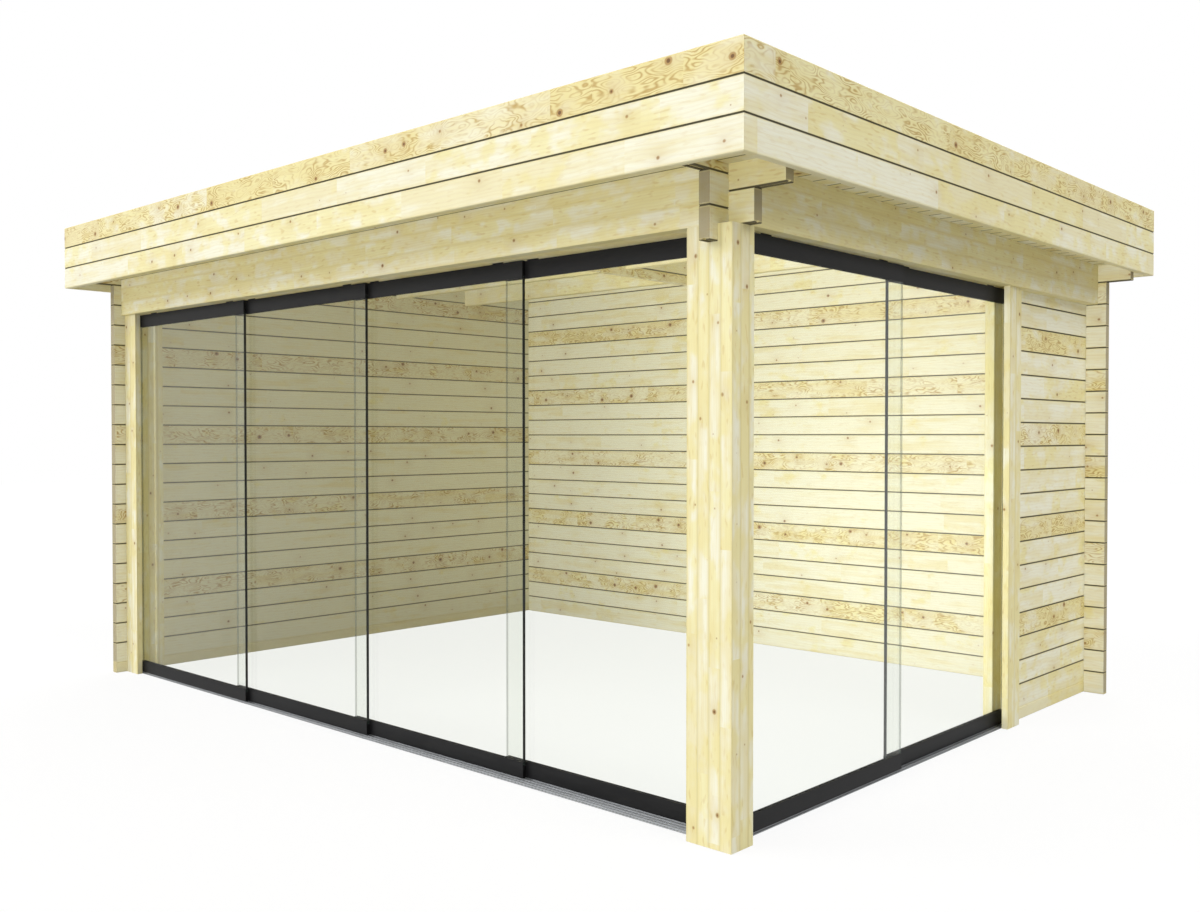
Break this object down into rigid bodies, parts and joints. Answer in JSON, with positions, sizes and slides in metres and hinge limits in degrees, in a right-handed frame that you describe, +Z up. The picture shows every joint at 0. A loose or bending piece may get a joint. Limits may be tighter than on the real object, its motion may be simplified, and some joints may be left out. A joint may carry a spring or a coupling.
{
  "type": "log cabin",
  "caption": "Flat-roofed log cabin of interlocking timber logs with a boarded roof edge, a corner post and sliding glass panels along the front and one side.",
  "frame": {"origin": "centre of the bounding box's underside, on the ground under the middle of the roof", "axes": "+X to the right along the glass front, +Y from the front to the back wall, +Z up"},
  "size_m": [4.7326, 3.6606, 2.5427],
  "materials": {
    "spruce_logs": "planed, untreated",
    "spruce_boards": "planed, untreated",
    "glued_spruce": "planed, glued laminated",
    "clear_glass": "clear",
    "black_aluminium": "satin powder coat",
    "grey_aluminium": "matt anodised",
    "wheel_nylon": "matt",
    "roofing_rubber": "matt sheet"
  },
  "bodies": {
    "cabin": {"left_wall_logs": "spruce_logs", "back_wall_logs": "spruce_logs", "right_wall_logs": "spruce_logs", "corner_post": "glued_spruce", "left_jamb_posts": "glued_spruce", "right_jamb_posts": "glued_spruce", "front_header_beam": "glued_spruce", "front_header_logs": "spruce_logs", "front_head_board": "glued_spruce", "side_header_beam": "glued_spruce", "side_header_logs": "spruce_logs", "side_head_board": "glued_spruce", "middle_roof_logs": "spruce_logs", "roof_joists": "spruce_boards", "roof_rim_boards": "spruce_boards", "soffit": "spruce_boards", "fascia_front": "spruce_boards", "fascia_right": "spruce_boards", "fascia_back": "spruce_boards", "fascia_left": "spruce_boards", "roof_deck": "spruce_boards", "roofing_sheet": "roofing_rubber", "front_floor_rail": "grey_aluminium", "side_floor_rail": "grey_aluminium"},
    "front_panel_1": {"front_pane_1": "clear_glass", "front_profiles_1": "black_aluminium", "front_wheels_1": "wheel_nylon"},
    "front_panel_2": {"front_pane_2": "clear_glass", "front_profiles_2": "black_aluminium", "front_wheels_2": "wheel_nylon"},
    "front_panel_3": {"front_pane_3": "clear_glass", "front_profiles_3": "black_aluminium", "front_wheels_3": "wheel_nylon"},
    "front_panel_4": {"front_pane_4": "clear_glass", "front_profiles_4": "black_aluminium", "front_wheels_4": "wheel_nylon"},
    "side_panel_1": {"side_pane_1": "clear_glass", "side_profiles_1": "black_aluminium", "side_wheels_1": "wheel_nylon"},
    "side_panel_2": {"side_pane_2": "clear_glass", "side_profiles_2": "black_aluminium", "side_wheels_2": "wheel_nylon"}
  },
  "joints": [
    {"name": "front_panel_1_slide", "type": "slide", "parent": "cabin", "child": "front_panel_1", "axis": [1, 0, 0], "range_m": [0, 2.89]},
    {"name": "front_panel_2_slide", "type": "slide", "parent": "cabin", "child": "front_panel_2", "axis": [1, 0, 0], "range_m": [-1, 1.89]},
    {"name": "front_panel_3_slide", "type": "slide", "parent": "cabin", "child": "front_panel_3", "axis": [1, 0, 0], "range_m": [-2, 0.89]},
    {"name": "front_panel_4_slide", "type": "slide", "parent": "cabin", "child": "front_panel_4", "axis": [1, 0, 0], "range_m": [-3, 0]},
    {"name": "side_panel_1_slide", "type": "slide", "parent": "cabin", "child": "side_panel_1", "axis": [0, 1, 0], "range_m": [0, 1.022]},
    {"name": "side_panel_2_slide", "type": "slide", "parent": "cabin", "child": "side_panel_2", "axis": [0, 1, 0], "range_m": [-1.011, 0]}
  ]
}
